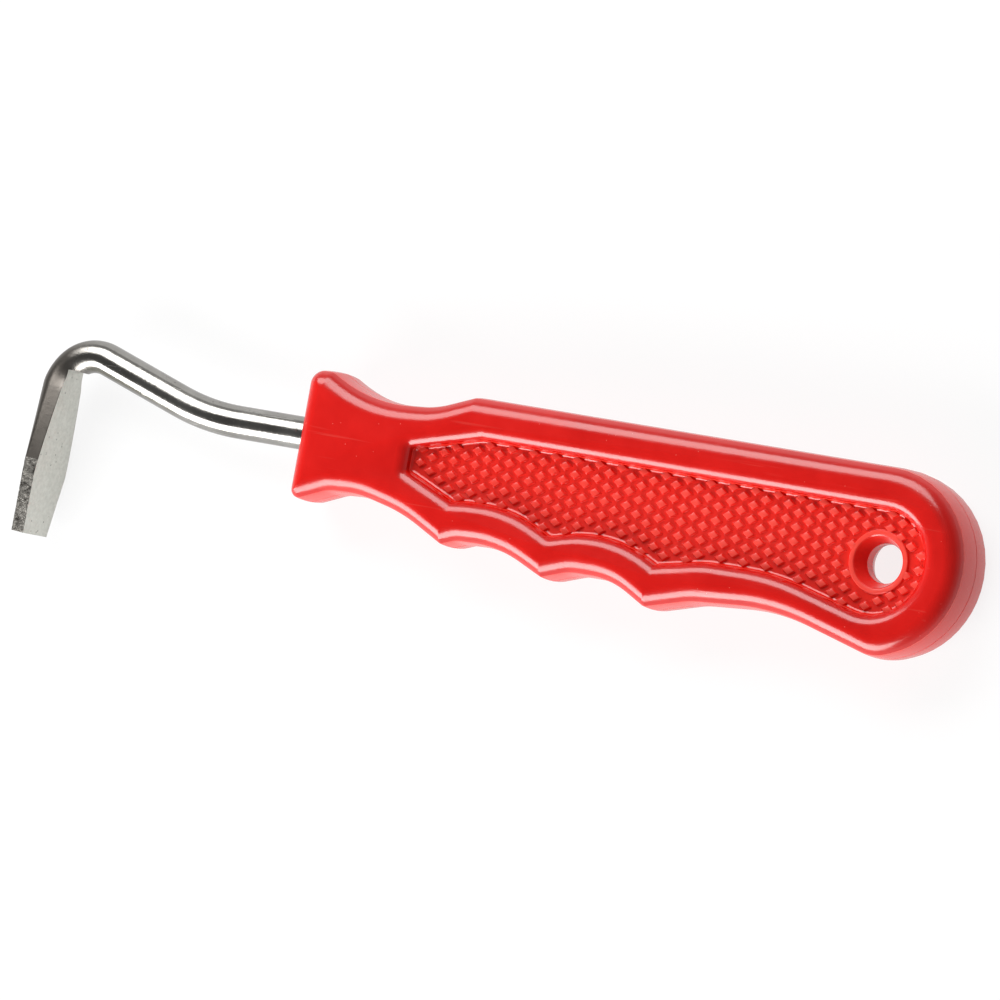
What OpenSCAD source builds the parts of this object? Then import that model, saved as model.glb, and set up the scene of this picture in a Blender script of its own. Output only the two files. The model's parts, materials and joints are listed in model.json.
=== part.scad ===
// Hoof pick: a bar bent into a hook and forged flat at its end, in a moulded handle with finger ridges.
// It lies on one broad face of the handle. The pick points along -X and the blade hangs towards -Y.
// Handle outlines are measured from the collar face (x) and from the axis of the bar (y).

/* [Handle] */
// Length from the collar face to the end of the butt
handle_len = 109.9; // [108:0.1:116]
// Thickness across the two broad faces
handle_thick = 11.5; // [11:0.1:13]
// Height of the top edge above the axis of the bar
top_edge = 9.6; // [9:0.1:10.5]
// Where the first finger ridge stands along the handle
first_ridge = 26.5; // [26:0.1:27.5]
// Distance from one finger ridge to the next
finger_pitch = 17.25; // [16.8:0.05:17.8]
// Width of the level part of the side wall
side_width = 8; // [7:0.1:9]
// How far the middle of the side wall stands proud of its edges
side_crown = 0.25; // [0.1:0.05:0.3]
// How far the rounded outer edge reaches in across the broad face
edge_round = 2.5; // [2:0.1:2.5]

/* [Sunk panel] */
// Depth of the panel below the broad face
panel_depth = 2.25; // [1.5:0.05:2.5]
// How far the sloping wall of the panel runs in
panel_slope = 1.3; // [0.8:0.1:1.4]
// Size of the eased edge round the panel
panel_ease = 0.35; // [0.1:0.05:0.4]

/* [Hanging hole] */
// Distance of the hole from the end of the butt
hole_from_butt = 13.6; // [13:0.1:14.5]
// How far the hole lies below the axis of the bar
hole_drop = 4.35; // [3.5:0.05:5]
// Diameter of the straight land in the middle of the hole
land_d = 5.8; // [5:0.1:6]
// Length of the straight land
land_len = 2; // [1:0.1:3]
// Diameter of the hole's mouth at the panel floor
mouth_d = 8; // [7:0.1:8.5]

/* [Bar] */
// Diameter of the bar
bar_d = 5; // [4:0.1:5]
// Straight run from the collar face to the crank
crank_run = 12.6; // [8:0.1:20]
// Angle of the crank
crank_angle = 17.6; // [10:0.1:25]
// Radius of the crank along the bar's axis
crank_r = 36; // [20:1:50]
// Straight neck between the crank and the hook
neck_len = 14; // [10:0.1:25]
// Angle that the hook turns through
hook_angle = 103.3; // [90:0.1:110]
// Radius of the hook along the bar's axis
hook_r = 6; // [5.5:0.1:9]

/* [Blade] */
// Length from the end of the hook bend to the tip
blade_len = 22.8; // [20:0.1:30]
// Width at the widest point
blade_w = 9.5; // [9:0.1:11]
// Width at the tip
tip_w = 7.2; // [6:0.1:9]
// Thickness of the forged plate
plate_t = 2.1; // [1.8:0.1:2.4]

/* [Tang] */
// How far the bar runs on inside the handle
tang_len = 60; // [40:1:65]
// Length of the flattened spade at the end of the tang
spade_len = 12; // [8:1:15]
// Width of the spade
spade_w = 7.5; // [6:0.1:8]
// Thickness of the spade
spade_t = 3.4; // [3:0.1:4]

/* [Hidden] */

collar_x = -31.4; // collar face, so that the origin lies under the middle of the whole tool
bar_y = 6.1; // axis of the bar
mid_z = handle_thick / 2; // parting plane, with the broad faces level
sag = 0.015; // how far the flats of a rounded corner may lie inside its true arc
sharpest = 0.25; // smallest corner radius left by an inset
round_fn = 48;
lap = 0.25; // how far each straight run reaches into the bends beside it
slim = 0.01; // how much smaller a run's radius is than a bend's, so that the lap lies inside

panel_floor = mid_z - panel_depth; // height of the panel floor above the parting plane
edge_rise = mid_z - side_width / 2; // how far the rounded edge rises to the broad face
hole_x = handle_len - hole_from_butt;
ridge_x = [for (i = [0 : 2]) first_ridge + i * finger_pitch];

// Corners of the handle's outline at the parting plane, as [x, y, corner radius], anticlockwise
grip_outline = [
    [0, -10.7, 1.5],
    [6.3, -8.1, 6],
    [11.5, -7.8, 15.5],
    [19.2, -9.5, 26],
    [ridge_x[0], -13.1, 1],
    [ridge_x[0] + 2.4, -12.2, 5.5],
    [ridge_x[0] + 9.3, -11.9, 18.5],
    [ridge_x[1], -15.3, 0.8],
    [ridge_x[1] + 4.4, -13.8, 9.5],
    [ridge_x[1] + 11.1, -13.7, 13],
    [ridge_x[2], -16.9, 1.5],
    [ridge_x[2] + 7.1, -14.9, 16.5],
    [ridge_x[2] + 20.3, -13.8, 34],
    [handle_len - 11.8, -18.3, 6.5],
    [handle_len, -13.7, 14],
    [handle_len, top_edge, 13.5],
    [28, top_edge, 2.5],
    [21.6, top_edge - 2.5, 16],
    [10.8, top_edge - 3.3, 23],
    [3.8, top_edge + 0.3, 2.4],
    [0, top_edge + 0.3, 2.4]
];

// Corners of the sunk panel at the broad face, which follow the ridges at an even distance
panel_outline = [
    [18.3, -3.6, 1.5],
    [ridge_x[0] + 0.8, -7.3, 0.5],
    [ridge_x[0] + 3.7, -7, 10],
    [ridge_x[0] + 10.2, -6.8, 20],
    [ridge_x[1] + 0.4, -10, 2.5],
    [ridge_x[1] + 3, -9.3, 11],
    [ridge_x[1] + 10, -7.5, 19.5],
    [ridge_x[2] + 0.8, -11.3, 0.5],
    [ridge_x[2] + 8.5, -9.7, 20],
    [ridge_x[2] + 19.6, -9.5, 36],
    [handle_len - 12.3, -13.8, 8.5],
    [handle_len - 5.3, -8.4, 9],
    [handle_len - 5.3, top_edge - 5.4, 8],
    [30.3, top_edge - 5.3, 4],
    [18.3, top_edge - 8.4, 1.5]
];

// Stations along the blade, as [distance past the hook bend, width, rise of the round back]
blade_stations = [
    [-2.6, bar_d, 1.5],
    [-0.4, 5.9, bar_d / 2 - 0.05],
    [0.2 * blade_len, 7.4, 1.9],
    [0.48 * blade_len, blade_w - 0.5, 1.2],
    [0.53 * blade_len, blade_w - 0.2, 0.9],
    [0.58 * blade_len, blade_w - 0.1, 0.2],
    [blade_len, tip_w, 0.05]
];
flat_y = -2.1; // inner face of the blade, from the axis of the leg
shoulder = 3; // how far the flat reaches back into the hook bend
trim = 0.3; // stock left beyond a flat face until it is cut level
back_steps = 12;

function unit(v) = v / norm(v);
function left_of(v) = [-v[1], v[0]];
function turn(v, a) = [v[0] * cos(a) - v[1] * sin(a), v[0] * sin(a) + v[1] * cos(a)];

// Rounded corner i of an outline whose sides have all moved in by the given distance
function rounded_corner(outline, i, inset) =
    let (
        n = len(outline),
        here = [outline[i][0], outline[i][1]],
        before = [outline[(i + n - 1) % n][0], outline[(i + n - 1) % n][1]],
        after = [outline[(i + 1) % n][0], outline[(i + 1) % n][1]],
        u = unit(here - before),
        v = unit(after - here),
        bend = atan2(u[0] * v[1] - u[1] * v[0], u * v),
        side = sign(bend),
        corner = here + inset * unit(left_of(u) + left_of(v)) / cos(bend / 2),
        r = max(outline[i][2] - side * inset, sharpest),
        start = corner - u * r * tan(abs(bend) / 2),
        centre = start + left_of(u) * side * r,
        steps = max(2, ceil(abs(bend) / (2 * acos(1 - sag / max(outline[i][2], 1)))))
    )
    [for (k = [0 : steps]) centre + turn(start - centre, bend * k / steps)];

function ring(outline, inset) =
    [for (i = [0 : len(outline) - 1]) each rounded_corner(outline, i, inset)];

// A closed solid through rings of equal count, lowest first
module skin(rings) {
    count = len(rings[0]);
    last = len(rings) - 1;
    polyhedron(
        points = [for (r = rings) each r],
        faces = concat(
            [[for (i = [0 : count - 1]) i]],
            [for (j = [0 : last - 1], i = [0 : count - 1])
                let (a = j * count + i, b = j * count + (i + 1) % count)
                each [[a, b + count, b], [a, a + count, b + count]]],
            [[for (i = [count - 1 : -1 : 0]) last * count + i]]
        )
    );
}

// Levels of an outline, given as [height, inset] pairs
module outline_skin(outline, levels) {
    skin([for (l = levels) [for (p = ring(outline, l[1])) [p[0], p[1], l[0]]]]);
}

// The moulding with its crowned side wall and rounded edges, before anything is sunk into it
module grip_blank() {
    rounded = [for (a = [0 : 22.5 : 90])
        [side_width / 2 + edge_rise * sin(a), side_crown + edge_round * (1 - cos(a))]];
    upper = concat(rounded, [[mid_z + trim, side_crown + edge_round]]);
    lower = [for (i = [len(upper) - 1 : -1 : 0]) [-upper[i][0], upper[i][1]]];
    intersection() {
        outline_skin(grip_outline, concat(lower, [[0, 0]], upper));
        translate([-1, -handle_len / 2, -mid_z])
            cube([handle_len + 2, handle_len, handle_thick]);
    }
}

// The space of the sunk panel above the parting plane
module panel_space() {
    outline_skin(panel_outline, [
        [panel_floor, panel_slope],
        [mid_z - panel_ease, 0.1],
        [mid_z, -panel_ease],
        [mid_z + 1, -panel_ease]
    ]);
}

// The hanging hole: a straight land, opening out to each panel floor
module hanging_hole() {
    lead = panel_floor - land_len / 2;
    flare = (mouth_d - land_d) / 2 / lead;
    over = 1;
    translate([hole_x, -hole_drop, 0]) {
        cylinder(d = land_d, h = land_len + 0.2, center = true, $fn = round_fn);
        for (side = [0, 1])
            mirror([0, 0, side])
                translate([0, 0, land_len / 2])
                    cylinder(d1 = land_d, d2 = land_d + 2 * flare * (lead + over), h = lead + over,
                             $fn = round_fn);
    }
}

// A straight run of bar from x = 0 to x = -length, lapping into the bends at its ends
module bar_run(length) {
    translate([lap, 0, 0])
        rotate([0, -90, 0])
            cylinder(r = bar_d / 2 - slim, h = length + 2 * lap, $fn = round_fn);
}

// The bar's first straight length, from the crank to its hidden end: a flat spade in the
// handle stops it turning or pulling out
module tang() {
    translate([tang_len - spade_len / 2, 0, 0])
        bar_run(tang_len - spade_len / 2 + crank_run);
    translate([tang_len - spade_len, -spade_w / 2, -spade_t / 2])
        cube([spade_len, spade_w, spade_t]);
}

// A bend of the bar: side 1 turns a bar that heads along -X towards -Y, side -1 towards +Y
module bar_bend(radius, angle, side) {
    translate([0, -side * radius, 0])
        rotate([0, 0, side > 0 ? 90 : -90 - angle])
            rotate_extrude(angle = angle, $fn = 2 * round_fn)
                translate([radius, 0])
                    circle(d = bar_d, $fn = round_fn);
}

// Moves its children to the end of a bend
module after_bend(radius, angle, side) {
    translate([0, -side * radius, 0])
        rotate([0, 0, side * angle])
            translate([0, side * radius, 0])
                children();
}

// Section of the blade: a flat inner face, straight edges and a round back
function blade_section(station) =
    let (half = station[1] / 2, edge_y = flat_y + plate_t)
    concat(
        [[-station[0], flat_y - trim, -half], [-station[0], flat_y - trim, half]],
        [for (k = [0 : back_steps])
            let (a = 180 * k / back_steps)
            [-station[0], edge_y + station[2] * sin(a), half * cos(a)]]
    );

module blade() {
    skin([for (s = blade_stations) blade_section(s)]);
}

// The bar from the start of the crank to the tip, following it from run to run
module hook_and_blade() {
    translate([-crank_run, 0, 0]) {
        bar_bend(crank_r, crank_angle, -1);
        after_bend(crank_r, crank_angle, -1) {
            bar_run(neck_len);
            translate([-neck_len, 0, 0])
                difference() {
                    union() {
                        bar_bend(hook_r, hook_angle, 1);
                        after_bend(hook_r, hook_angle, 1)
                            blade();
                    }
                    after_bend(hook_r, hook_angle, 1)
                        translate([-blade_len - 1, flat_y - bar_d, -blade_w])
                            cube([shoulder + blade_len + 1, bar_d, 2 * blade_w]);
                }
        }
    }
}

module in_place() {
    translate([collar_x, bar_y, mid_z])
        children();
}

module pick_rod() {
    color("silver")
        in_place() {
            tang();
            hook_and_blade();
        }
}

module handle() {
    color("crimson")
        in_place()
            difference() {
                grip_blank();
                for (side = [0, 1])
                    mirror([0, 0, side])
                        panel_space();
                hanging_hole();
                tang();
            }
}

pick_rod();
handle();
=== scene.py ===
# %% [markdown]
# # A hoof pick
# A hoof pick is a steel bar, bent into a hook and forged flat at its end, in a moulded plastic handle.
# The CAD model fixes every size. Here its two solids are replaced by finer meshes in the same places:
# the handle with its rounded edges, sunk gripping panels and raised studs, and the bar with its blade.

import bpy
import bmesh
import json
import math
from mathutils import Matrix, Vector, noise


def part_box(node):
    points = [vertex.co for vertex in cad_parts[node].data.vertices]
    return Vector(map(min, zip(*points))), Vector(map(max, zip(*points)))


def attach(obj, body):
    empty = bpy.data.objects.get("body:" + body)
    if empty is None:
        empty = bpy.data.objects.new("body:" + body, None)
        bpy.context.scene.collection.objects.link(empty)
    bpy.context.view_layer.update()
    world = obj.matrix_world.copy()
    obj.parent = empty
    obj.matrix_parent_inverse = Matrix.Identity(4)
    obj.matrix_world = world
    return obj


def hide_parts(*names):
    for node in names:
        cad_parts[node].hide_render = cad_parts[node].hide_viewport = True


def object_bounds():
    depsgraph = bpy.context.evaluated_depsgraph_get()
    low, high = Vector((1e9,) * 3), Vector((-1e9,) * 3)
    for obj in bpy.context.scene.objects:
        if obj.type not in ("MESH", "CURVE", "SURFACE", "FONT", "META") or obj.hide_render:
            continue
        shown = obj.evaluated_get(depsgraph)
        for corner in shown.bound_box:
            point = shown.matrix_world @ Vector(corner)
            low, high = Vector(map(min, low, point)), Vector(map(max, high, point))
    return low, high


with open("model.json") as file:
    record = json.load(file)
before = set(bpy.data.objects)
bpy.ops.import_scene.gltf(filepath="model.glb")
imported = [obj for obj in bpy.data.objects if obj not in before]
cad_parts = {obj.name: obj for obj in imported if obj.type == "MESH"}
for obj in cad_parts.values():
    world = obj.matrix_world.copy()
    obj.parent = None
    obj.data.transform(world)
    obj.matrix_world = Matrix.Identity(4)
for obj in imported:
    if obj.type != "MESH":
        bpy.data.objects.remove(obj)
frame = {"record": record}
cad_low, cad_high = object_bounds()
mm = 0.001
print("CAD box in mm:", [round(v / mm, 2) for v in (*cad_low, *cad_high)])

# %% [markdown]
# Handle sizes are measured from the collar face, from the axis of the bar and from the parting plane,
# as a toolmaker would. One matrix moves each finished piece from there to its place in the frame.

# %% Find the handle in the frame
grip_low, grip_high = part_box("handle")
mounts = {m["name"]: m for m in frame["record"]["mounts"]}
collar_x = grip_low.x
bar_y = mounts["rest_face"]["pos_m"][1]
mid_z = (grip_low.z + grip_high.z) / 2
to_frame = Matrix.Translation((collar_x, bar_y, mid_z))
length = (grip_high.x - grip_low.x) / mm
half_thick = (grip_high.z - grip_low.z) / 2 / mm
hole = Vector(mounts["hang_hole"]["pos_m"]) - to_frame.translation
hole_x, hole_y = hole.x / mm, hole.y / mm
print(f"handle {length:.1f} long, {2 * half_thick:.1f} thick, hole at {hole_x:.1f}, {hole_y:.2f}")

# %% [markdown]
# The handle's outline is straight runs joined by round corners. It is kept as corner points with a
# radius each, so that the whole outline can be moved inwards exactly: convex corners get tighter and
# hollow ones wider, just as a cutter of constant radius would leave them.

# %% Outline of the handle and of its panel
first_ridge, ridge_pitch = 26.5, 17.25
ridge = [first_ridge + ridge_pitch * k for k in range(3)]  # where the finger ridges stand
top = 9.6  # top edge above the bar's axis
grip_outline = [  # x, y and corner radius, anticlockwise
    [0, -10.7, 1.5],
    [6.3, -8.1, 6],
    [11.5, -7.8, 15.5],
    [19.2, -9.5, 26],
    [ridge[0], -13.1, 1],
    [ridge[0] + 2.4, -12.2, 5.5],
    [ridge[0] + 9.3, -11.9, 18.5],
    [ridge[1], -15.3, 0.8],
    [ridge[1] + 4.4, -13.8, 9.5],
    [ridge[1] + 11.1, -13.7, 13],
    [ridge[2], -16.9, 1.5],
    [ridge[2] + 7.1, -14.9, 16.5],
    [ridge[2] + 20.3, -13.8, 34],
    [length - 11.8, -18.3, 6.5],
    [length, -13.7, 14],
    [length, top, 13.5],
    [28, top, 2.5],
    [21.6, top - 2.5, 16],
    [10.8, top - 3.3, 23],
    [3.8, top + 0.3, 2.4],
    [0, top + 0.3, 2.4],
]
panel_outline = [
    [18.3, -3.6, 1.5],
    [ridge[0] + 0.8, -7.3, 0.5],
    [ridge[0] + 3.7, -7, 10],
    [ridge[0] + 10.2, -6.8, 20],
    [ridge[1] + 0.4, -10, 2.5],
    [ridge[1] + 3, -9.3, 11],
    [ridge[1] + 10, -7.5, 19.5],
    [ridge[2] + 0.8, -11.3, 0.5],
    [ridge[2] + 8.5, -9.7, 20],
    [ridge[2] + 19.6, -9.5, 36],
    [length - 12.3, -13.8, 8.5],
    [length - 5.3, -8.4, 9],
    [length - 5.3, top - 5.4, 8],
    [30.3, top - 5.3, 4],
    [18.3, top - 8.4, 1.5],
]
print("corners:", len(grip_outline), "on the handle,", len(panel_outline), "on the panel")


# %% Lay points round an outline
def corner_arc(outline, i, inset, steps=10, sharpest=0.2):
    """Points of one round corner, after the outline has been moved inwards."""
    here, before, after = (Vector(outline[j % len(outline)][:2]) for j in (i, i - 1, i + 1))
    u, v = (here - before).normalized(), (after - here).normalized()
    bend = math.atan2(u.x * v.y - u.y * v.x, u.dot(v))
    side = 1 if bend > 0 else -1
    left_u, left_v = Vector((-u.y, u.x)), Vector((-v.y, v.x))
    corner = here + (left_u + left_v).normalized() * inset / math.cos(bend / 2)
    r = max(outline[i][2] - side * inset, sharpest)
    start = corner - u * r * math.tan(abs(bend) / 2)
    centre = start + left_u * side * r
    spoke = start - centre
    turns = [Matrix.Rotation(bend * k / steps, 2) for k in range(steps + 1)]
    return [centre + turn @ spoke for turn in turns]


def ring(outline, inset, z, longest=2.5):
    """Points of the outline moved inwards, with its long straight runs broken into short ones."""
    rest = [corner_arc(outline, i, 0) for i in range(len(outline))]
    arcs = [corner_arc(outline, i, inset) for i in range(len(outline))]
    points = []
    for i, arc in enumerate(arcs):
        j = (i + 1) % len(arcs)
        parts = max(1, math.ceil((rest[j][0] - rest[i][-1]).length / longest))
        points += arc + [arc[-1].lerp(arcs[j][0], k / parts) for k in range(1, parts)]
    return [(p.x, p.y, z) for p in points]


print("outline points:", len(ring(grip_outline, 0, 0)), len(ring(panel_outline, 0, 0)))

# %% [markdown]
# The moulding comes from two half moulds. Its side wall bulges very slightly to the parting line,
# where the halves leave a fine groove, and a crisp line ends the wall before the broad rounded edge.
# A Bevel modifier would round every edge alike, so the wall and the edge are grown level by level.

# %% Levels of the side wall and of the rounded edge
wall_half = 3.9  # half the height of the side wall
crown = 0.25  # how far the wall's middle stands proud
edge_in = 2.55  # how far the rounded edge reaches in
groove, groove_half = 0.05, 0.05  # depth of the parting line, and half its width
start_angle = math.radians(21)  # the edge's slope where it leaves the wall
edge_steps = 14


def edge_level(a):
    """Height and inset of the rounded edge at angle a."""
    up = (math.sin(a) - math.sin(start_angle)) / (1 - math.sin(start_angle))
    back = 1 - math.cos(a) / math.cos(start_angle)
    return wall_half + (half_thick - wall_half) * up, crown + edge_in * back


wall_heights = (0.12, 0.8, 1.6, 2.4, 3.2, 3.6, wall_half - 0.04)
wall = [(z, crown * (z / wall_half) ** 2) for z in wall_heights]
rounded = [
    edge_level(start_angle + (math.pi / 2 - start_angle) * k / edge_steps)
    for k in range(edge_steps + 1)
]
print("levels:", len(wall), "on the wall,", len(rounded), "on the edge")

# %% [markdown]
# Blender's modelling tools act on all that is selected, and loading the frame leaves its solids
# selected, so each piece starts with nothing selected. Most pieces here grow from one closed loop of
# edges. Each point of the loop carries its number, which extrude and spin copy, so every new loop can
# be laid on an exact outline. Of the handle only the upper half is grown this way.


# %% Start the handle at the parting line
def clear_selection():
    if bpy.context.object and bpy.context.object.mode != "OBJECT":
        bpy.ops.object.mode_set(mode="OBJECT")
    bpy.ops.object.select_all(action="DESELECT")


def start_loop(name, points):
    """A new piece in edit mode, whose one loop of edges lies on these points, given in mm."""
    clear_selection()
    bpy.ops.mesh.primitive_circle_add(vertices=len(points), radius=mm)
    piece = bpy.context.object
    piece.name = piece.data.name = name
    number = piece.data.attributes.new("number", "INT", "POINT")
    for k, point in enumerate(points):
        piece.data.vertices[k].co = Vector(point) * mm
        number.data[k].value = k
    bpy.ops.object.mode_set(mode="EDIT")
    bpy.ops.mesh.select_all(action="SELECT")
    return piece


handle = start_loop("handle_visual", ring(grip_outline, groove, 0))
print(handle.name, "starts with", len(handle.data.vertices), "points")


# %% Grow it level by level
def next_loop(piece, points):
    """Extrudes the selected loop and lays the new one on these points."""
    bpy.ops.mesh.extrude_region_move()
    shape = bmesh.from_edit_mesh(piece.data)
    number = shape.verts.layers.int["number"]
    for v in shape.verts:
        if v.select:
            v.co = Vector(points[v[number]]) * mm
    bmesh.update_edit_mesh(piece.data)


levels = [(groove_half, groove)] + wall + rounded
for z, inset in levels:
    next_loop(handle, ring(grip_outline, inset, z))
bpy.ops.mesh.edge_face_add()
print("levels grown:", len(levels))

# %% [markdown]
# A Mirror modifier makes the lower half. Every modifier here is applied at once, so that the next step
# works on a plain mesh, and the faces are turned outwards, because a mirror can leave them inside out.


# %% Mirror the handle's blank
def pick_only(*pieces):
    """Selects these pieces and nothing else, with the last one active."""
    clear_selection()
    for piece in pieces:
        piece.select_set(True)
    bpy.context.view_layer.objects.active = pieces[-1]


def face_outwards(piece):
    pick_only(piece)
    bpy.ops.object.mode_set(mode="EDIT")
    bpy.ops.mesh.select_all(action="SELECT")
    bpy.ops.mesh.normals_make_consistent(inside=False)
    bpy.ops.object.mode_set(mode="OBJECT")


def apply_modifier(piece, kind, **settings):
    pick_only(piece)
    modifier = piece.modifiers.new(kind.lower(), kind)
    for key, value in settings.items():
        setattr(modifier, key, value)
    bpy.ops.object.modifier_apply(modifier=modifier.name)


def mirror_down(piece):
    """Adds the mirror image below the parting plane."""
    apply_modifier(piece, "MIRROR", use_axis=(False, False, True), merge_threshold=1e-6)
    face_outwards(piece)


def tell(piece):
    print(piece.name, "has", len(piece.data.polygons), "faces")


mirror_down(handle)
tell(handle)

# %% [markdown]
# The gripping panel is sunk into each broad face, with a broad eased edge, a sloping wall and a small
# fillet at its floor. It could be inset from the broad face, but its outline has other corners than
# the handle's, so a cutter of the panel's own shape is grown and taken away with a Boolean modifier.

# %% Levels of the panel's wall
panel_depth = 2.25
floor_z = half_thick - panel_depth
slope = 1.3  # how far the wall runs in on its way down
ease_r, ease_out = 2, 0.95  # radius of the eased edge, and how far out of the outline it starts
clearance = 0.005  # lifts the curve a hair, so that none of it lies level with the broad face
wall_levels = [(half_thick + 0.3, -1.6)]  # height and inset
for degrees in range(4, 61, 8):
    a = math.radians(degrees)
    height = half_thick + clearance - ease_r * (1 - math.cos(a))
    wall_levels.append((height, ease_r * math.sin(a) - ease_out))
wall_levels += [
    (floor_z + 0.55, 0.88),
    (floor_z + 0.3, 0.99),
    (floor_z + 0.13, 1.14),
    (floor_z + 0.03, slope),
    (floor_z, slope + 0.2),
]
print(f"panel floor {floor_z:.2f} above the parting plane, {len(wall_levels)} levels in its wall")


# %% Sink the panels
def close_ends(piece):
    """Fills every open loop and turns all faces outwards."""
    bpy.ops.mesh.select_all(action="DESELECT")
    bpy.ops.mesh.select_non_manifold()
    bpy.ops.mesh.edge_face_add()
    face_outwards(piece)


def cut(piece, cutter, operation="DIFFERENCE"):
    """Takes the cutter away from the piece, or joins it on, and removes the cutter."""
    apply_modifier(piece, "BOOLEAN", operation=operation, object=cutter, solver="EXACT")
    bpy.data.objects.remove(cutter)


sinker = start_loop("panel_cutter", ring(panel_outline, wall_levels[0][1], wall_levels[0][0]))
for z, inset in wall_levels[1:]:
    next_loop(sinker, ring(panel_outline, inset, z))
close_ends(sinker)
mirror_down(sinker)
cut(handle, sinker)
tell(handle)

# %% [markdown]
# A low ring stands round the hanging hole, level with the studs. The hole is straight in the middle
# and opens out to both sides, as two tapered core pins that meet would leave it. Both are round, so
# one helper grows either of them from a list of radii and heights.

# %% Raise the ring and open the hanging hole
stud_height = 0.4
ring_r, land_r = 4.75, 2.9
ring_profile = [
    (ring_r, floor_z),
    (ring_r - 0.14, floor_z + 0.32),
    (ring_r - 0.24, floor_z + stud_height),
]
pin_profile = [(land_r, 1), (3.0, 1.2), (3.7, 3.5), (3.78, 3.72), (3.93, 3.85), (4.2, 3.93), (5.0, 4.1)]


def round_loop(r, z, points=72):
    turns = [2 * math.pi * k / points for k in range(points)]
    return [(hole_x + r * math.cos(a), hole_y + r * math.sin(a), z) for a in turns]


def turned_shell(name, profile):
    """A round shell about the hole's axis, alike above and below the parting plane."""
    piece = start_loop(name, round_loop(profile[0][0], 0))
    for r, z in profile:
        next_loop(piece, round_loop(r, z))
    bpy.ops.mesh.edge_face_add()
    mirror_down(piece)
    return piece


cut(handle, turned_shell("hole_ring", ring_profile), "UNION")
cut(handle, turned_shell("hole_cutter", pin_profile))
tell(handle)

# %% [markdown]
# The panel floor is covered with small raised diamonds in staggered rows. One stud is modelled as a
# tapered four-sided block with eased edges. Array modifiers repeat it, and the studs that fall
# outside the panel or on the hole are deleted. The wall hides the rest of those that it cuts.

# %% Model one stud
top_half, base_half = Vector((0.79, 0.6)), Vector((1.25, 0.84))  # from the middle to the corners
buried, eased = 0.06, 0.12  # depth of the base below the floor, and width of the eased edges
clear_selection()
bpy.ops.mesh.primitive_cone_add(vertices=4, radius1=1, radius2=0.7, depth=1)
studs = bpy.context.object
studs.name = studs.data.name = "studs"
for v in studs.data.vertices:
    half, rise = (top_half, stud_height) if v.co.z > 0 else (base_half, -buried)
    flat_r = math.hypot(v.co.x, v.co.y)
    v.co = Vector((v.co.x / flat_r * half.x, v.co.y / flat_r * half.y, floor_z + rise)) * mm
bpy.ops.object.mode_set(mode="EDIT")
bpy.ops.mesh.select_all(action="DESELECT")
shape = bmesh.from_edit_mesh(studs.data)
for e in shape.edges:
    e.select_set(max(v.co.z for v in e.verts) > floor_z * mm)
bmesh.update_edit_mesh(studs.data)
bpy.ops.mesh.bevel(offset=eased * mm, segments=2)
bpy.ops.object.mode_set(mode="OBJECT")
stud_points = len(studs.data.vertices)
tell(studs)

# %% Repeat it over the panel
pitch_x, pitch_y = 3.6456, 2.105  # from one stud to the next in the same row and column
grid_x, grid_y = 38.88, -9.87  # a stud's place; the first is 7 columns and 4 rows before it
columns, rows = 28, 13
first_x, first_y = grid_x - 7 * pitch_x, grid_y - 4 * pitch_y
bpy.ops.transform.translate(value=(first_x * mm, first_y * mm, 0))
bpy.ops.object.transform_apply(location=True, rotation=True, scale=True)
for step, count in (
    ((pitch_x / 2, pitch_y / 2), 2),
    ((pitch_x, 0), columns),
    ((0, pitch_y), rows),
):
    apply_modifier(
        studs,
        "ARRAY",
        count=count,
        use_relative_offset=False,
        use_constant_offset=True,
        constant_offset_displace=(step[0] * mm, step[1] * mm, 0),
    )
tell(studs)


# %% Keep the studs on the panel
def inside(point, outline):
    """True if an upright line from the point crosses the outline an odd number of times."""
    odd = False
    for a, b in zip(outline, outline[1:] + outline[:1]):
        if (a[0] > point.x) != (b[0] > point.x):
            y = a[1] + (b[1] - a[1]) * (point.x - a[0]) / (b[0] - a[0])
            odd ^= y > point.y
    return odd


floor_edge = ring(panel_outline, slope - 0.25, floor_z)
ring_inner = ring_r - 0.35  # stud points nearer to the hole are pushed out to here, inside the ring
places = [v.co / mm for v in studs.data.vertices]
bpy.ops.object.mode_set(mode="EDIT")
bpy.ops.mesh.select_all(action="DESELECT")
shape = bmesh.from_edit_mesh(studs.data)
shape.verts.ensure_lookup_table()
kept = 0
for first in range(0, len(places), stud_points):
    own = range(first, first + stud_points)
    centre = sum((places[k] for k in own), Vector()) / stud_points
    from_hole = math.hypot(centre.x - hole_x, centre.y - hole_y)
    keep = inside(centre, floor_edge) and from_hole > ring_r - 0.1
    kept += keep
    for k in own:
        v = shape.verts[k]
        v.select_set(not keep)
        out = Vector((places[k].x - hole_x, places[k].y - hole_y, 0))
        if out.length < ring_inner:
            v.co += out.normalized() * (ring_inner - out.length) * mm
bmesh.update_edit_mesh(studs.data)
bpy.ops.mesh.delete(type="VERT")
bpy.ops.object.mode_set(mode="OBJECT")
print(kept, "studs on each panel")

# %% Join the studs to the handle
mirror_down(studs)
pick_only(studs, handle)
bpy.ops.object.join()
bpy.ops.object.shade_smooth_by_angle(angle=math.radians(24))
handle.data.transform(to_frame)
tell(handle)

# %% [markdown]
# The bar is drawn the way it is bent. A circle is extruded for each straight run and spun for each
# bend: a gentle crank outside the collar, then the tight hook. A bevelled curve could follow the same
# line, but its section couldn't turn into the blade. Its hidden end stops inside the handle.

# %% Start the bar inside the handle
bar_r = 2.5
hidden_run = 12
around = 64  # points round the bar


def spot(origin, back, along, s, y, z):
    """A point s along the bar from the origin, y towards its back and z sideways."""
    flat = origin + along * s + back * y
    return (flat.x, flat.y, z)


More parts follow.
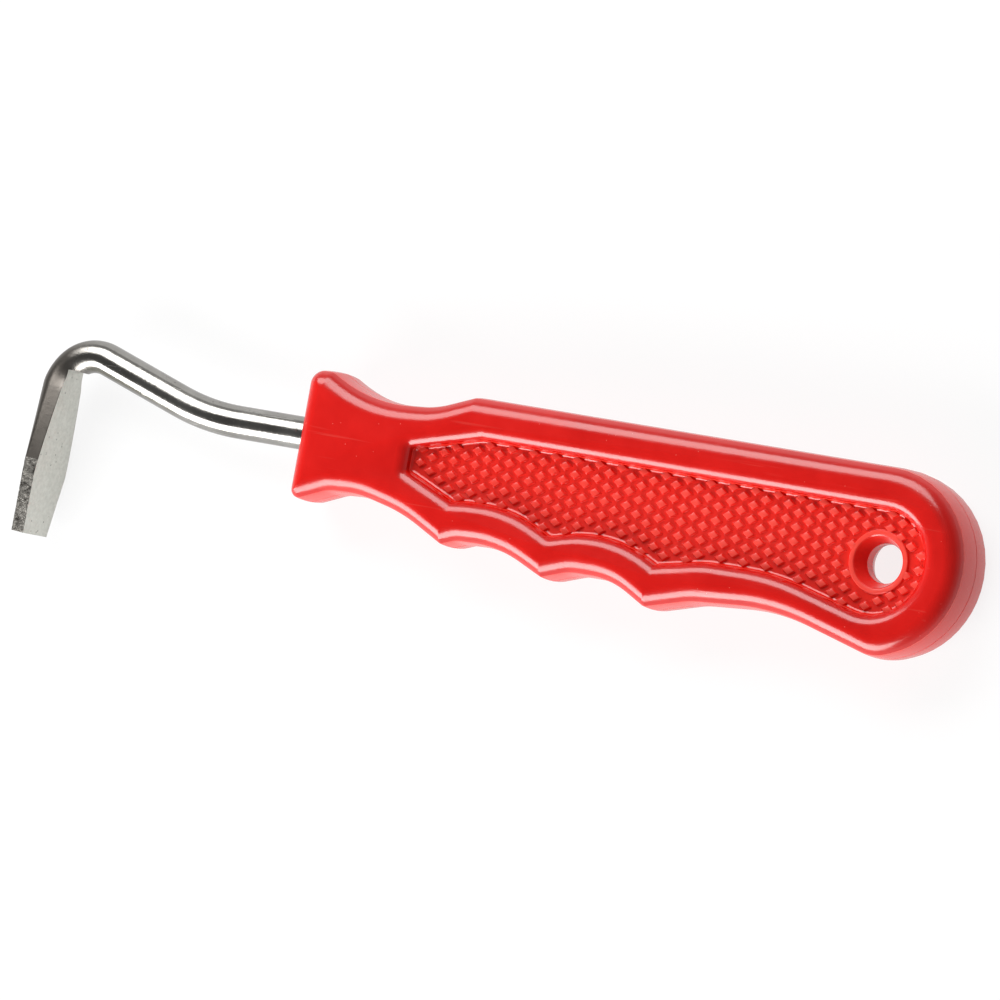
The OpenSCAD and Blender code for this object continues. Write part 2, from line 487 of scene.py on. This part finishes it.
def bar_ring(origin, heading):
    along = Vector((math.cos(heading), math.sin(heading)))
    back = Vector((along.y, -along.x))
    turns = [2 * math.pi * k / around for k in range(around)]
    return [spot(origin, back, along, 0, bar_r * math.cos(a), bar_r * math.sin(a)) for a in turns]


heading = math.pi
here = Vector((hidden_run, 0))
bar = start_loop("pick_rod_visual", bar_ring(here, heading))
print(bar.name, "starts", hidden_run, "mm inside the collar face")

# %% Bend the bar
crank_run, crank_r, crank_angle = 12.6, 36, math.radians(17.6)
neck_len, neck_parts = 14, 4
hook_r, hook_angle = 6, math.radians(103.3)
plain_share = 0.5  # the first part of the hook is still a plain round bar


def spin(centre, angle, steps):
    """Spins the selected loop. The spin tool turns against the angle it is given."""
    bpy.ops.mesh.spin(
        steps=steps, angle=-angle, center=(centre.x * mm, centre.y * mm, 0), axis=(0, 0, 1)
    )


for x in (1, 0, -crank_run / 2, -crank_run):
    here = Vector((x, 0))
    next_loop(bar, bar_ring(here, heading))
spin(here + Vector((0, crank_r)), -crank_angle, 10)
heading -= crank_angle
here += Vector((-math.sin(crank_angle), 1 - math.cos(crank_angle))) * crank_r
for part in range(neck_parts):
    here += Vector((math.cos(heading), math.sin(heading))) * neck_len / neck_parts
    next_loop(bar, bar_ring(here, heading))
hook_centre = here + Vector((-math.sin(heading), math.cos(heading))) * hook_r
spin(hook_centre, hook_angle * plain_share, 18)
ends = [v.co / mm for v in bmesh.from_edit_mesh(bar.data).verts if v.select]
end = sum(ends, Vector()) / len(ends)
print("half-way round the hook:", [round(v, 2) for v in end])

# %% [markdown]
# From half-way round the hook the bar is forged into a blade. Its back stays round and slowly
# flattens, then steps down to a plain plate with ragged sheared sides. Each section is laid out in
# full, with a little stock left on the inner side. One level cut then makes the whole inner face and
# the shoulder in the hook.

# %% Sections of the blade
blade_len = 22.8
flat_y, stock = -2.1, 0.35  # the inner face from the leg's axis, and what is left on it to cut away
stations = [(0.53, 9.3, 0.95), (0.585, 9.5, 0.16), (1, 7.2, 0.04)]  # share, width, rise of the back
sheared_from = 0.5  # the share of the blade after which its sides are sheared
side_part = 0.25  # the part of a section's inner half that runs down its side


def blade_size(share):
    """Width of the blade and rise of its back. A share of 0 is at the hook and 1 at the tip."""
    if share < stations[0][0]:
        return 5.9 + 8.2 * share - 3.4 * share**2, min(bar_r, 2.45 - 2.3 * share - share**2)
    for a, b in zip(stations, stations[1:]):
        if share <= b[0]:
            t = (share - a[0]) / (b[0] - a[0])
            return [a[k] + (b[k] - a[k]) * t for k in (1, 2)]


def blade_section(share):
    """Points of the section as (y towards the back, z), in the order of the round bar's points."""
    width, rise = blade_size(share)
    rough = min(1, max(0, share - sheared_from) * 12)
    points = []
    for k in range(around):
        a = 2 * math.pi * k / around
        if math.cos(a) >= -1e-6:
            y, z = rise * max(0, math.cos(a)), width / 2 * math.sin(a)
        else:
            t = abs(math.atan2(math.sin(a), math.cos(a))) / (math.pi / 2) - 1
            y = (flat_y - stock) * min(1, t / side_part)
            across = 1 if t <= side_part else (1 - t) / (1 - side_part)
            z = math.copysign(width / 2, math.sin(a)) * across
        seed = Vector((share * 30, y * 1.3, 4 if z > 0 else 9))
        chip = 0.1 * noise.noise(seed) + 0.05 * noise.noise(seed * 2.7)
        if abs(z) > width * 0.46:
            z -= math.copysign(abs(chip) * rough, z)
        points.append((y, z))
    return points


for share in (0, 1):
    print("width and rise at", share, "of its length:", *(round(v, 2) for v in blade_size(share)))


# %% Forge the second half of the hook
def frame_at(turned):
    """Where the bar is, which way it runs and where its back points, part-way round the hook."""
    origin = hook_centre + Matrix.Rotation(turned, 2) @ (here - hook_centre)
    along = Vector((math.cos(heading + turned), math.sin(heading + turned)))
    return origin, along, Vector((along.y, -along.x))


def forged_ring(t):
    """A section in the hook, from the round bar at t = 0 to the blade's first section at t = 1."""
    origin, along, back = frame_at(hook_angle * (plain_share + (1 - plain_share) * t))
    ease = t * t * (3 - 2 * t)
    before_leg = (t - 1) * (1 - plain_share) * hook_angle * hook_r / blade_len
    points = []
    for k, (y, z) in enumerate(blade_section(before_leg)):
        a = 2 * math.pi * k / around
        y = bar_r * math.cos(a) * (1 - ease) + y * ease
        z = bar_r * math.sin(a) * (1 - ease) + z * ease
        points.append(spot(origin, back, along, 0, y, z))
    return points


forging_steps = 14
for k in range(1, forging_steps + 1):
    next_loop(bar, forged_ring(k / forging_steps))
leg, leg_along, leg_back = frame_at(hook_angle)
print("the leg starts at", [round(v, 2) for v in leg])

# %% Forge the leg
shares = [0.5 * k / 16 for k in range(1, 17)] + [0.515, 0.53, 0.545, 0.565, 0.585]
shares += [0.6 + 0.4 * k / 16 for k in range(17)]
for share in shares:
    section = blade_section(share)
    next_loop(bar, [spot(leg, leg_back, leg_along, share * blade_len, y, z) for y, z in section])
close_ends(bar)
tell(bar)

# %% Cut the inner face level
shoulder = 3  # how far the cut runs back into the hook
cut_depth, cut_width = 2.5, 14
worn_edge = 0.12
clear_selection()
bpy.ops.mesh.primitive_cube_add(size=1)
leveller = bpy.context.object
for v in leveller.data.vertices:
    s = -shoulder if v.co.x < 0 else blade_len + 1
    y = flat_y if v.co.y > 0 else flat_y - cut_depth
    v.co = Vector(spot(leg, leg_back, leg_along, s, y, v.co.z * cut_width)) * mm
face_outwards(leveller)
cut(bar, leveller)
apply_modifier(
    bar,
    "BEVEL",
    width=worn_edge * mm,
    segments=2,
    limit_method="ANGLE",
    angle_limit=math.radians(48),
)
face_outwards(bar)
tell(bar)

# %% [markdown]
# The blade has three finishes: bright plate on the bar, a duller face where it was pressed flat, and a
# rough sheared edge. They could be three materials, but the plating and its pits run on from one to
# the next. So two values on the faces tell one material which finish it is painting.

# %% Mark the pressed face and the sheared edges
slack = 0.2  # how far from its exact place a face may lie
pressed = bar.data.attributes.new("pressed", "FLOAT", "FACE")
sheared = bar.data.attributes.new("sheared", "FLOAT", "FACE")
for face in bar.data.polygons:
    flat = Vector(face.center.xy) / mm - leg
    s, y = flat.dot(leg_along), flat.dot(leg_back)
    normal_back = Vector(face.normal.xy).dot(leg_back)
    on_blade = s > -shoulder - slack and y < 3
    if on_blade and normal_back < -0.9 and y < flat_y + slack:
        pressed.data[face.index].value = 1
    on_side, at_tip = abs(face.normal.z) > 0.6, s > blade_len - 0.1
    if on_blade and s > sheared_from * blade_len and (on_side or at_tip):
        sheared.data[face.index].value = 1
pick_only(bar)
bpy.ops.object.shade_smooth_by_angle(angle=math.radians(32))
bar.data.transform(to_frame)
print("pressed faces:", sum(v.value for v in pressed.data))
print("sheared faces:", sum(v.value for v in sheared.data))

# %% [markdown]
# Materials are built from nodes. Three small groups hold what both materials need: soft mottling, fine
# scratches and tiny specks. Each takes a place on the piece and gives back a value that varies over
# it, so the pattern belongs to the piece and looks the same from every side.


# %% Start the first node group
def add(tree, kind, **settings):
    """A new node. Each setting is a property of it, or an input with _ for each space in its name."""
    made = tree.nodes.new(kind)
    for key, value in settings.items():
        if hasattr(made, key):
            setattr(made, key, value)
        else:
            made.inputs[key.replace("_", " ")].default_value = value
    return made


def wire(tree, a, out, b, into):
    """Leads one output of node a to one input of node b."""
    tree.links.new(a.outputs[out], b.inputs[into])


def new_group(name, values):
    group = bpy.data.node_groups.new(name, "ShaderNodeTree")
    group.interface.new_socket("Place", in_out="INPUT", socket_type="NodeSocketVector")
    for value in values:
        group.interface.new_socket(value, in_out="INPUT", socket_type="NodeSocketFloat")
    group.interface.new_socket("Mask", in_out="OUTPUT", socket_type="NodeSocketFloat")
    return group, group.nodes.new("NodeGroupInput"), group.nodes.new("NodeGroupOutput")


mottle, m_in, m_out = new_group("mottle", ["Scale"])
print(mottle.name, "starts with", len(mottle.nodes), "nodes")


# %% Group: mottle
def limits(tree, source, out, low, high, to_low=0.0, to_high=1.0):
    """Maps the values from low to high to those from to_low to to_high."""
    made = add(tree, "ShaderNodeMapRange", clamp=True)
    wire(tree, source, out, made, "Value")
    for name, value in zip(("From Min", "From Max", "To Min", "To Max"), (low, high, to_low, to_high)):
        made.inputs[name].default_value = value
    return made


cloud = add(mottle, "ShaderNodeTexNoise", Detail=5.0, Roughness=0.6)
wire(mottle, m_in, "Place", cloud, "Vector")
wire(mottle, m_in, "Scale", cloud, "Scale")
wire(mottle, limits(mottle, cloud, 0, 0.32, 0.68), 0, m_out, "Mask")
print(mottle.name, "has", len(mottle.nodes), "nodes")


# %% Group: fine scratches
def maths(tree, operation, a, b=None, c=None):
    """A Math node. Each of a, b and c is a number or a (node, output) pair."""
    made = add(tree, "ShaderNodeMath", operation=operation)
    for k, value in enumerate((a, b, c)):
        if isinstance(value, tuple):
            wire(tree, value[0], value[1], made, k)
        elif value is not None:
            made.inputs[k].default_value = value
    return made


scratches, s_in, s_out = new_group("fine scratches", ["Scale", "Amount"])
total = None
for turn, stretch in ((0.5, 26), (-0.9, 30), (1.7, 22)):
    turned = add(scratches, "ShaderNodeMapping")
    turned.inputs["Rotation"].default_value = (turn * 0.4, turn * 0.3, turn)
    turned.inputs["Scale"].default_value = (1, stretch, stretch)
    wire(scratches, s_in, "Place", turned, "Vector")
    streak = add(scratches, "ShaderNodeTexNoise", Detail=2.0)
    wire(scratches, turned, 0, streak, "Vector")
    wire(scratches, s_in, "Scale", streak, "Scale")
    thin = limits(scratches, streak, 0, 0.7, 0.76)
    total = thin if total is None else maths(scratches, "MAXIMUM", (total, 0), (thin, 0))
wire(scratches, maths(scratches, "MULTIPLY", (total, 0), (s_in, "Amount")), 0, s_out, "Mask")
print(scratches.name, "has", len(scratches.nodes), "nodes")

# %% Group: tiny specks
specks, k_in, k_out = new_group("tiny specks", ["Scale", "Size"])
cells = add(specks, "ShaderNodeTexVoronoi", Randomness=1.0)
wire(specks, k_in, "Place", cells, "Vector")
wire(specks, k_in, "Scale", cells, "Scale")
near = maths(specks, "LESS_THAN", (cells, "Distance"), (k_in, "Size"))
cell_value = add(specks, "ShaderNodeSeparateColor")
wire(specks, cells, "Color", cell_value, 0)
chosen = maths(specks, "GREATER_THAN", (cell_value, 0), 0.7)
wire(specks, maths(specks, "MULTIPLY", (near, 0), (chosen, 0)), 0, k_out, "Mask")
print(specks.name, "has", len(specks.nodes), "nodes")

# %% [markdown]
# The handle is glossy coloured plastic. The colour runs right through it, so wear shows paler. The tops
# of the studs are painted paler and made drier, most of all towards the butt: partly wear where the
# palm rubs, partly painted sheen where the light catches their flat tops. Fine scratches and a faint
# ripple from the mould break up the reflections.


# %% Red plastic: its groups
def new_material(name, **shader_values):
    """A material with its tree, its shader and a node for places on the piece."""
    material = bpy.data.materials.new(name)
    material.use_nodes = True
    tree = material.node_tree
    shader = tree.nodes["Principled BSDF"]
    for key, value in shader_values.items():
        shader.inputs[key.replace("_", " ")].default_value = value
    place = tree.nodes.new("ShaderNodeTexCoord")
    return material, tree, shader, place


def place_group(tree, group, place, **values):
    made = tree.nodes.new("ShaderNodeGroup")
    made.node_tree = group
    wire(tree, place, "Object", made, "Place")
    for key, value in values.items():
        made.inputs[key].default_value = value
    return made


plastic, tree, shader, place = new_material(
    "red_plastic", Specular_IOR_Level=0.65, Coat_Roughness=0.08, Coat_IOR=1.45
)
cloudy = place_group(tree, mottle, place, Scale=90)
fine_cloud = place_group(tree, mottle, place, Scale=900)
scratch = place_group(tree, scratches, place, Scale=45, Amount=1.0)
dust = place_group(tree, specks, place, Scale=800, Size=0.06)
print(plastic.name, "has", len(tree.nodes), "nodes so far")

# %% Red plastic: stud tops with wear and painted sheen
spread = add(tree, "ShaderNodeSeparateXYZ")
wire(tree, place, "Object", spread, 0)
from_middle = maths(tree, "ABSOLUTE", (maths(tree, "SUBTRACT", (spread, "Z"), mid_z), 0))
above_floor = limits(tree, from_middle, 0, (floor_z + 0.3) * mm, (floor_z + 0.4) * mm)
below_rim = limits(tree, from_middle, 0, (floor_z + 0.45) * mm, (floor_z + 0.6) * mm, 1, 0)
on_stud = maths(tree, "MULTIPLY", (above_floor, 0), (below_rim, 0))
to_butt = limits(tree, spread, "X", -15 * mm, 45 * mm, 0.45, 1)
# Mask of the stud tops, stronger towards the butt: partly wear, partly painted sheen where the light
# catches the tops.
wear_and_sheen_mask = maths(tree, "MULTIPLY", (on_stud, 0), (to_butt, 0))
print(plastic.name, "has", len(tree.nodes), "nodes so far")

# %% Red plastic: colour
low_in, high_in, mixed = 6, 7, 2  # the numbers of a Mix node's colour inputs and colour output


def blend_colour(tree, mask, out, low, high):
    """A Mix node between two colours. Each is a colour or a (node, output) pair."""
    made = add(tree, "ShaderNodeMix", data_type="RGBA")
    wire(tree, mask, out, made, 0)
    for socket, value in ((low_in, low), (high_in, high)):
        if isinstance(value[0], bpy.types.Node):
            wire(tree, value[0], value[1], made, socket)
        else:
            made.inputs[socket].default_value = (*value, 1)
    return made


red = blend_colour(tree, cloudy, "Mask", (0.59, 0.004, 0.002), (0.70, 0.006, 0.003))
# Painted light: the whole sunk panel, floor and studs, gets a paler red than the rim, lifting the shade
# in the recess.
panel_painted_light = blend_colour(tree, below_rim, 0, (red, mixed), (0.83, 0.018, 0.010))
# Painted sheen and wear: the stud tops get a paler red.
wear_and_sheen_colour = blend_colour(tree, wear_and_sheen_mask, 0, (panel_painted_light, mixed), (0.93, 0.060, 0.040))
faint_lines = maths(tree, "MULTIPLY", (scratch, 0), 0.12)
marked = blend_colour(tree, faint_lines, 0, (wear_and_sheen_colour, mixed), (0.9, 0.2, 0.15))
faint_dust = maths(tree, "MULTIPLY", (dust, 0), 0.4)
dusty = blend_colour(tree, faint_dust, 0, (marked, mixed), (0.9, 0.3, 0.25))
wire(tree, dusty, mixed, shader, "Base Color")
print(plastic.name, "has", len(tree.nodes), "nodes so far")


# %% Red plastic: gloss and relief
def relief(tree, height, strength, distance, under=None, sunk=False):
    """A Bump node on the first output of height, laid over the relief under it."""
    made = add(tree, "ShaderNodeBump", Strength=strength, Distance=distance, invert=sunk)
    wire(tree, height, 0, made, "Height")
    if under is not None:
        wire(tree, under, 0, made, "Normal")
    return made


satin = limits(tree, cloudy, "Mask", 0, 1, 0.2, 0.27)
dry = maths(tree, "MULTIPLY_ADD", (wear_and_sheen_mask, 0), 0.12, (satin, 0))
wire(tree, dry, 0, shader, "Roughness")
wire(tree, limits(tree, cloudy, "Mask", 0, 1, 0.34, 0.26), 0, shader, "Coat Weight")
flow = relief(tree, cloudy, 0.25, 0.00015)
ripple = relief(tree, fine_cloud, 0.1, 0.00005, under=flow)
scored = relief(tree, scratch, 0.25, 0.00002, under=ripple, sunk=True)
wire(tree, scored, 0, shader, "Normal")
handle.data.materials.append(plastic)
print(plastic.name, "has", len(tree.nodes), "nodes")

# %% [markdown]
# The bar is nickel-plated steel. The plating is bright but thin, so it has pits, rubbed spots and
# scratches. The leg is painted darker and made less bright: partly the darkening left by heating it for
# forging, partly painted shade where its flank shows dark. The pressed face is duller and a little
# green, and the sheared edge is dark and rough.

# %% Plated steel: colour
steel, tree, shader, place = new_material("plated_steel", Metallic=1.0)
cloudy = place_group(tree, mottle, place, Scale=140)
fine_cloud = place_group(tree, mottle, place, Scale=1500)
scratch = place_group(tree, scratches, place, Scale=70, Amount=1.0)
pits = place_group(tree, specks, place, Scale=1100, Size=0.17)
is_pressed = add(tree, "ShaderNodeAttribute", attribute_name="pressed")
is_sheared = add(tree, "ShaderNodeAttribute", attribute_name="sheared")
plate_colour = blend_colour(tree, cloudy, "Mask", (0.38, 0.368, 0.345), (0.50, 0.487, 0.46))
dull = blend_colour(tree, fine_cloud, "Mask", (0.72, 0.725, 0.665), (0.84, 0.845, 0.785))
forged = blend_colour(tree, fine_cloud, "Mask", (0.05, 0.046, 0.041), (0.38, 0.362, 0.33))
spread = add(tree, "ShaderNodeSeparateXYZ")
wire(tree, place, "Object", spread, 0)
# The leg is painted darker from -69 mm to -74.5 mm and beyond: partly the darkening left by forging
# heat, partly painted shade where its flank shows dark.
heat_dark_and_shade = limits(tree, spread, "X", -69 * mm, -74.5 * mm, 0, 0.9)
leg_colour = blend_colour(tree, heat_dark_and_shade, 0, (plate_colour, mixed), (0.13, 0.115, 0.10))
face_colour = blend_colour(tree, is_pressed, "Fac", (leg_colour, mixed), (dull, mixed))
edge_colour = blend_colour(tree, is_sheared, "Fac", (face_colour, mixed), (forged, mixed))
dark_marks = maths(tree, "MULTIPLY", (pits, 0), 0.45)
pitted = blend_colour(tree, dark_marks, 0, (edge_colour, mixed), (0.12, 0.11, 0.10))
wire(tree, pitted, mixed, shader, "Base Color")
print(steel.name, "has", len(tree.nodes), "nodes so far")

# %% Plated steel: brightness and relief
bright = limits(tree, cloudy, "Mask", 0, 1, 0.14, 0.22)
matt = maths(tree, "MULTIPLY_ADD", (is_pressed, "Fac"), 0.2, (bright, 0))
scaled = maths(tree, "MULTIPLY_ADD", (heat_dark_and_shade, 0), 0.16, (matt, 0))
rougher = maths(tree, "MULTIPLY_ADD", (is_sheared, "Fac"), 0.15, (scaled, 0))
scratched = maths(tree, "MULTIPLY_ADD", (scratch, 0), 0.25, (rougher, 0))
wire(tree, scratched, 0, shader, "Roughness")
beaten = maths(tree, "MULTIPLY_ADD", (is_sheared, "Fac"), 6.0, 0.6)
grain = maths(tree, "MULTIPLY", (fine_cloud, 0), (beaten, 0))
surface = relief(tree, grain, 0.35, 0.00003)
pocked = relief(tree, pits, 0.6, 0.00004, under=surface, sunk=True)
wire(tree, pocked, 0, shader, "Normal")
bar.data.materials.append(steel)
print(steel.name, "has", len(tree.nodes), "nodes")

# %% [markdown]
# Each piece rides on the part's one body and stands for its CAD solid.
# The numbers of the loops' points have done their work and are taken off.

# %% Tie the pieces to the frame
for piece, node, finish in ((handle, "handle", "red_plastic"), (bar, "pick_rod", "plated_steel")):
    piece.data.attributes.remove(piece.data.attributes["number"])
    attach(piece, "root")
    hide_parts(node)
    print(piece.name, "stands for", node)

# %% [markdown]
# The tool lies on a plain pale floor. The floor gives off light of its own, which keeps it white and
# the shadows faint. The camera sees more of that light than the tool does, or else the side walls
# would look washed out by its reflection.

# %% Floor
below_tool = 0.00002
clear_selection()
bpy.ops.mesh.primitive_plane_add(size=6, location=(0, 0, cad_low.z - below_tool))
ground = bpy.context.object
ground.name = "floor"
paint, tree, shader, place = new_material("pale_floor", Roughness=0.9, Specular_IOR_Level=0.1)
shader.inputs["Base Color"].default_value = (0.17, 0.17, 0.17, 1)
shader.inputs["Emission Color"].default_value = (1, 1, 1, 1)
seen = add(tree, "ShaderNodeLightPath")
lit = maths(tree, "MULTIPLY_ADD", (seen, "Is Camera Ray"), 0.26, 0.58)
wire(tree, lit, 0, shader, "Emission Strength")
ground.data.materials.append(paint)
print(ground.name, "is at a height of", round(ground.location.z / mm, 3), "mm")

# %% [markdown]
# Gloss needs something to reflect. Two long soft lights at the sides draw the bright bands along the
# edges, while the dim air overhead keeps the level faces deep red and leaves a dark line down the bar.
# Small lights would leave only spots.


# %% Lights
def soft_light(name, towards, distance, size, power):
    """A rectangular light that stands in the given direction and faces the tool."""
    clear_selection()
    direction = Vector(towards).normalized()
    bpy.ops.object.light_add(type="AREA", location=direction * distance)
    light = bpy.context.object
    light.name = name
    light.rotation_euler = direction.to_track_quat("Z", "Y").to_euler()
    light.data.shape = "RECTANGLE"
    light.data.size, light.data.size_y = size
    light.data.energy = power
    light.visible_camera = False
    print(name, "gives", power, "W from", distance, "m away")


soft_light("front_light", (-0.42, -0.84, 0.4), 0.7, (0.9, 0.42), 8.5)
soft_light("back_light", (-0.3, 0.72, 0.66), 0.8, (0.9, 0.5), 6.5)

# %% Studio air
world = bpy.data.worlds.new("studio")
bpy.context.scene.world = world
world.use_nodes = True
air = world.node_tree
air.nodes.clear()
around_us = add(air, "ShaderNodeTexCoord")
split = add(air, "ShaderNodeSeparateXYZ")
wire(air, around_us, "Generated", split, 0)
overhead = limits(air, split, "Z", 0.05, 0.6, 0.5, 0.13)
glow = add(air, "ShaderNodeBackground")
wire(air, overhead, 0, glow, "Strength")
backdrop = add(air, "ShaderNodeBackground", Color=(0.93, 0.93, 0.93, 1), Strength=1.0)
seen = add(air, "ShaderNodeLightPath")
choose = add(air, "ShaderNodeMixShader")
wire(air, seen, "Is Camera Ray", choose, 0)
wire(air, glow, 0, choose, 1)
wire(air, backdrop, 0, choose, 2)
wire(air, choose, 0, add(air, "ShaderNodeOutputWorld"), 0)
print(world.name, "has", len(air.nodes), "nodes")

# %% [markdown]
# The camera is far away with a long lens, so the tool shows almost no perspective. It looks down
# steeply from the butt's side, turned so that the tool slants across the view. The Standard view
# transform keeps the strong red clear, where the default one would dull it.

# %% Camera
target = Vector((3.49, 1.2, 9.65)) * mm
azimuth, elevation, roll = (math.radians(v) for v in (87.43, 63.16, 77.26))
camera_distance = 1.036
back = Vector(
    (
        math.sin(azimuth) * math.cos(elevation),
        -math.cos(azimuth) * math.cos(elevation),
        math.sin(elevation),
    )
)
eye = bpy.data.cameras.new("camera")
camera = bpy.data.objects.new("camera", eye)
bpy.context.scene.collection.objects.link(camera)
eye.lens, eye.sensor_width = 253.6, 36
eye.clip_start, eye.clip_end = 0.05, 20
camera.location = target + back * camera_distance
camera.rotation_mode = "QUATERNION"
tracked = (-back).to_track_quat("-Z", "Y")
camera.rotation_quaternion = Matrix.Rotation(-roll, 3, back).to_quaternion() @ tracked
bpy.context.scene.camera = camera
bpy.context.scene.view_settings.view_transform = "Standard"
print("camera at", [round(v, 3) for v in camera.location])
